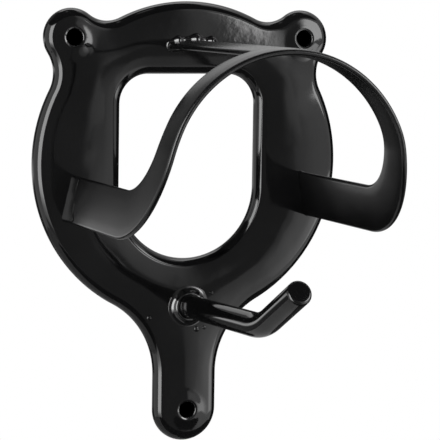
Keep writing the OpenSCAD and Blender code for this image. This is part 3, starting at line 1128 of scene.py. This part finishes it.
def hook_bead():
    """Path round the rod's foot, which is a circle, and the drops, all laid on the crowned face."""
    path = arc((0, hook_z), ROD_R + HOOK_BEAD_OUT, 2 * math.pi, 0, BEAD_GAP)
    points, faces = bead(path, ring_profile(), wander(path, HOOK_LUMPS, HOOK_PHASE))
    for x, z, radius in DROPS:
        more, sides = drop(x, hook_z + z, radius)
        faces += [[len(points) + corner for corner in side] for side in sides]
        points = np.vstack([points, more])
    points[:, 1] += crown(points[:, [0, 2]] - [0, disc_z])
    return points, faces


hook_weld = piece("gloss_hook_weld", "hook_weld", *hook_bead(), weld_coat)
ring_faces = len(hook_weld.data.polygons) - len(DROPS) * (DROP_ROWS - 1) * DROP_SIDES
second_coat(hook_weld, np.arange(len(hook_weld.data.polygons)) >= ring_faces, strap_coat)

# %% [markdown]
# ## The studio
# A black mirror shows what stands round it, so the studio matters as much as the coat. The
# background is white where the camera, a reflection or a clear piece would show it, and dimmer
# where it lights the rack. A brighter sky could make the background white too, but it would also
# wash out the black. So two backgrounds are mixed by the kind of ray.

# %% White background
AMBIENT = 0.25
WHITE = (1, 1, 1, 1)
world = bpy.data.worlds.new("white_studio")
bpy.context.scene.world = world
world.use_nodes = True
tree = world.node_tree
soft = tree.nodes["Background"]
soft.inputs["Strength"].default_value = AMBIENT
soft.inputs["Color"].default_value = WHITE
white = tree.nodes.new("ShaderNodeBackground")
white.inputs["Color"].default_value = WHITE
rays = tree.nodes.new("ShaderNodeLightPath").outputs
seen = combine(tree, "MAXIMUM", rays["Is Camera Ray"], rays["Is Glossy Ray"])
seen = combine(tree, "MAXIMUM", seen, rays["Is Transmission Ray"])
choice = tree.nodes.new("ShaderNodeMixShader")
tree.links.new(seen, choice.inputs["Fac"])
tree.links.new(soft.outputs[0], choice.inputs[1])
tree.links.new(white.outputs[0], choice.inputs[2])
tree.links.new(choice.outputs[0], tree.nodes["World Output"].inputs["Surface"])
bpy.context.scene.view_settings.view_transform = "Standard"
print("world:", world.name)

# %% [markdown]
# ### Cards for the reflections
# Gloss black is photographed with cards round it. Pale ones to the left, to the right and above
# draw the bright lines along the edges here, and dark ones in front and at the back keep the faces
# and the right-hand outlines black. Each card is a patch of a sphere round the rack, so that a
# direction is simply a turn to the right of the front and a tilt. Flat planes could do it, but they
# would have to be aimed one by one. Only reflections see the cards, and they cast no shadow.

# %% A card
CARD_DISTANCE = 6.0
CARD_COLUMNS = 49
CARD_ROWS = 25
centre = (cad_low + cad_high) / 2


def glow_material(name, stops):
    """A glow without colour that runs through stops of place and level, along the first UV axis."""
    material = bpy.data.materials.new(name)
    material.use_nodes = True
    nodes, links = material.node_tree.nodes, material.node_tree.links
    nodes.clear()
    ramp = nodes.new("ShaderNodeValToRGB")
    elements = ramp.color_ramp.elements
    for spot, (at, level) in enumerate(stops):
        stop = elements[spot] if spot < len(elements) else elements.new(at)
        stop.position = at
        stop.color = (level, level, level, 1)
    apart = nodes.new("ShaderNodeSeparateXYZ")
    links.new(nodes.new("ShaderNodeTexCoord").outputs["UV"], apart.inputs[0])
    links.new(apart.outputs["X"], ramp.inputs["Fac"])
    glow = nodes.new("ShaderNodeEmission")
    links.new(ramp.outputs["Color"], glow.inputs["Color"])
    links.new(glow.outputs[0], nodes.new("ShaderNodeOutputMaterial").inputs["Surface"])
    return material


def card(name, turns, tilts, stops, upright=False, distance=CARD_DISTANCE):
    """A patch of a sphere between two turns and two tilts, whose glow runs across it or up it."""
    turn, tilt = np.meshgrid(np.radians(np.linspace(*turns, CARD_COLUMNS)),
                             np.radians(np.linspace(*tilts, CARD_ROWS)))
    grid = np.stack([np.sin(turn) * np.cos(tilt), -np.cos(turn) * np.cos(tilt), np.sin(tilt)], -1)
    index = np.arange(turn.size).reshape(turn.shape)
    corners = [index[:-1, :-1], index[1:, :-1], index[1:, 1:], index[:-1, 1:]]
    quads = np.stack(corners, -1).reshape(-1, 4)
    points = np.array(centre) + distance * grid.reshape(-1, 3)
    mesh = bpy.data.meshes.new(name)
    mesh.from_pydata(points.tolist(), [], quads.tolist())
    way = tilt if upright else turn
    run = ((way - way.min()) / np.ptp(way)).ravel()
    uv = np.column_stack([run, run])[quads.ravel()]
    mesh.uv_layers.new(name="run").data.foreach_set("uv", uv.ravel().astype(np.float32))
    mesh.materials.append(glow_material(name, stops))
    made = bpy.data.objects.new(name, mesh)
    bpy.context.scene.collection.objects.link(made)
    made.visible_camera = False
    made.visible_diffuse = False
    made.visible_shadow = False
    print("card", name, turns, tilts)


print("most cards stand", CARD_DISTANCE, "m away")

# %% Dark cards
LOW_CARD_DISTANCE = 0.36
EVEN = [(0, 0.05), (1, 0.05)]
card("dark_front", (-30, 26), (-9, -3.5), [(0, 0.16), (0.94, 0.2), (0.95, 0.45), (1, 0.6)])
card("dark_front_upper", (-30, 26), (-3.5, 32),
     [(0, 0.16), (0.86, 0.2), (0.89, 0.4), (0.91, 0.7), (1, 0.9)])
card("dark_front_under", (-30, 26), (-45, -9), [(0, 0.16), (0.85, 0.2), (0.865, 0.42), (1, 0.75)])
card("dark_front_high", (-69, 80), (32, 86), EVEN)
card("dark_front_low", (-69, 95), (-86, -38), EVEN, distance=LOW_CARD_DISTANCE)
card("dark_right", (78, 150), (-45, 50), [(0, 0.02), (0.6, 0.02), (0.65, 0.4), (1, 0.8)], True)
card("dark_right_low", (95, 150), (-86, -30), EVEN, distance=LOW_CARD_DISTANCE)
card("dark_back", (150, 184), (-80, 50),
     [(0, 0.5), (0.42, 0.5), (0.48, 0.3), (0.54, 0.02), (0.6, 0.02), (0.65, 0.6), (1, 0.8)], True)
card("dark_left_back", (184, 238), (-40, 50),
     [(0, 0.1), (0.3, 0.1), (0.33, 0.8), (0.345, 1.6), (0.38, 1.5), (0.43, 0.5), (0.47, 0.17),
      (0.51, 0.1), (0.58, 0.15), (0.72, 0.2), (1, 0.2)], True)
card("dark_left_low", (-69, -30), (-45, -28), [(0, 0.4), (1, 0.4)])

# %% Pale cards and dark cards above
NEAR_CARD_DISTANCE = 0.5
card("pale_left", (-67, -33), (-28, 30),
     [(0, 1.2), (0.1, 2), (0.17, 3.5), (0.23, 6), (0.27, 7), (1, 7)], True)
card("pale_right", (26, 60), (7.4, 28),
     [(0, 0.8), (0.065, 1.8), (0.13, 4), (0.22, 6.5), (1, 6.5)], distance=NEAR_CARD_DISTANCE)
card("pale_right_middle", (26, 78), (-7, -1.2), [(0, 0.6), (0.1, 0.95), (1, 1)])
card("pale_right_low", (26, 78), (-16, -7),
     [(0, 0.9), (0.115, 1.6), (0.28, 3.8), (0.66, 3.8), (0.8, 1.6), (1, 1.6)])
card("pale_right_under", (26, 78), (-45, -16), [(0, 0.9), (0.115, 1.2), (1, 1.2)])
card("pale_top", (110, 200), (50, 66), [(0, 2.2), (1, 2.2)])
card("dark_top", (80, 291), (66, 86), EVEN)
card("dark_top_left", (200, 291), (32, 66), EVEN)

# %% [markdown]
# ### Soft boxes
# Three soft boxes light the rack at a plain level, so that its colour also looks right under other
# light. Reflections do not show them, because the cards do that work. A point lamp would throw a
# hard shadow, and an area lamp is as large as a real soft box.

# %% Soft boxes
LAMP_DISTANCE = 1.3
# Brightness of each soft box's face
LAMP_GLOW = 2.6
# Turn to the right of the front and tilt of each soft box, in degrees, and its width and height
SOFT_BOXES = {
    "left_box": (-50, 10, 0.6, 0.9),
    "right_box": (48, 20, 0.6, 0.6),
    "top_box": (0, 80, 0.7, 0.7),
}
for name, (turn, tilt, width, height) in SOFT_BOXES.items():
    lamp = bpy.data.lights.new(name, "AREA")
    lamp.shape = "RECTANGLE"
    lamp.size = width
    lamp.size_y = height
    lamp.energy = LAMP_GLOW * math.pi * width * height
    box = bpy.data.objects.new(name, lamp)
    bpy.context.scene.collection.objects.link(box)
    turn, tilt = math.radians(turn), math.radians(tilt)
    away = Vector((math.sin(turn) * math.cos(tilt), -math.cos(turn) * math.cos(tilt),
                   math.sin(tilt)))
    box.location = centre + away * LAMP_DISTANCE
    box.rotation_euler = away.to_track_quat("Z", "Y").to_euler()
    box.visible_glossy = False
    print(name, round(lamp.energy, 2), "W")

# %% [markdown]
# ### The floor
# The floor is far below the rack, pale, and keeps its shadow. A plain sheet would end in a hard
# line against the white background, so the floor is a disc that turns white towards its rim where
# the camera sees it. Rings about a point in the middle are its mesh.

# %% Floor
FLOOR_DROP = 0.45
FLOOR_R = 0.6
FLOOR_RINGS = 12
FLOOR_SIDES = 64
FLOOR_PALE = (0.82, 0.82, 0.82, 1)
FLOOR_ROUGHNESS = 0.9
# How far from its middle the floor starts to turn white, and its glow for the camera in the middle
FLOOR_FADE = 0.25
FLOOR_GLOW = 0.45


def floor_disc():
    """Rings about a point on the floor below the rack, joined to a point in the middle."""
    radius = np.linspace(0, FLOOR_R, FLOOR_RINGS + 1)[1:, None]
    a = np.linspace(0, 2 * math.pi, FLOOR_SIDES, endpoint=False)
    rings = np.stack([radius * np.cos(a), radius * np.sin(a), 0 * radius * a - FLOOR_DROP], -1)
    rings = rings.reshape(-1, 3)
    place = np.arange(FLOOR_SIDES)
    fan = np.column_stack([place, (place + 1) % FLOOR_SIDES, 0 * place + len(rings)])
    faces = bands(FLOOR_RINGS, FLOOR_SIDES).tolist() + fan.tolist()
    return np.vstack([rings, [0, 0, -FLOOR_DROP]]), faces


floor_points, floor_faces = floor_disc()
floor_mesh = bpy.data.meshes.new("pale_floor")
floor_mesh.from_pydata(floor_points.tolist(), [], floor_faces)
pale = bpy.data.materials.new("pale_floor")
pale.use_nodes = True
tree = pale.node_tree
shader = tree.nodes["Principled BSDF"]
shader.inputs["Base Color"].default_value = FLOOR_PALE
shader.inputs["Roughness"].default_value = FLOOR_ROUGHNESS
place = tree.nodes.new("ShaderNodeTexCoord").outputs["Object"]
whiter = fade(tree, place, (0, 0, -FLOOR_DROP), FLOOR_FADE, FLOOR_R, FLOOR_GLOW, 1)
camera_ray = tree.nodes.new("ShaderNodeLightPath").outputs["Is Camera Ray"]
glow = tree.nodes.new("ShaderNodeEmission")
mixed = tree.nodes.new("ShaderNodeMixShader")
tree.links.new(combine(tree, "MULTIPLY", whiter, camera_ray), mixed.inputs["Fac"])
tree.links.new(shader.outputs[0], mixed.inputs[1])
tree.links.new(glow.outputs[0], mixed.inputs[2])
tree.links.new(mixed.outputs[0], tree.nodes["Material Output"].inputs["Surface"])
floor_mesh.materials.append(pale)
floor = bpy.data.objects.new("pale_floor", floor_mesh)
bpy.context.scene.collection.objects.link(floor)
print("floor", FLOOR_DROP, "m below")

# %% [markdown]
# ### Behind the screw holes
# The screw holes of a rack on a wall look black, because hardly any light reaches the wall behind
# them. The studio has no wall, so a black disc of painted shade stands where the wall would be
# behind each hole. A whole dark wall would hide the white background. The discs belong to the
# stage, and they are seen from the front only, so that the back of the rack stays open.

# %% Dark behind the screw holes
BLACK = (0, 0, 0, 1)
DISC_SIDES = 48


def painted_hole_shades():
    """A black disc of painted shade where the wall would be behind each screw hole, a little wider
    than the hole.
    """
    a = np.linspace(0, 2 * math.pi, DISC_SIDES, endpoint=False)
    ring = (screw_r + SHEET_T) * np.column_stack([np.cos(a), np.sin(a)])
    flat = np.vstack([at + ring for at in hole_centres])
    discs = np.arange(len(flat)).reshape(len(hole_centres), DISC_SIDES)
    return on_plate(flat, np.full(len(flat), plate_depth)), discs


shade_points, shade_faces = painted_hole_shades()
shade_mesh = bpy.data.meshes.new("painted_hole_shades")
shade_mesh.from_pydata(shade_points.tolist(), [], shade_faces.tolist())
# The discs' black is painted shade, which only the front sees
shade = bpy.data.materials.new("painted_shade_from_the_front")
shade.use_nodes = True
nodes, links = shade.node_tree.nodes, shade.node_tree.links
shader = nodes["Principled BSDF"]
shader.inputs["Base Color"].default_value = BLACK
shader.inputs["Specular IOR Level"].default_value = 0
one_sided = nodes.new("ShaderNodeMixShader")
links.new(nodes.new("ShaderNodeNewGeometry").outputs["Backfacing"], one_sided.inputs["Fac"])
links.new(shader.outputs[0], one_sided.inputs[1])
links.new(nodes.new("ShaderNodeBsdfTransparent").outputs[0], one_sided.inputs[2])
links.new(one_sided.outputs[0], nodes["Material Output"].inputs["Surface"])
shade_mesh.materials.append(shade)
shades = bpy.data.objects.new("painted_hole_shades", shade_mesh)
bpy.context.scene.collection.objects.link(shades)
print("dark discs behind", len(shade_faces), "holes")
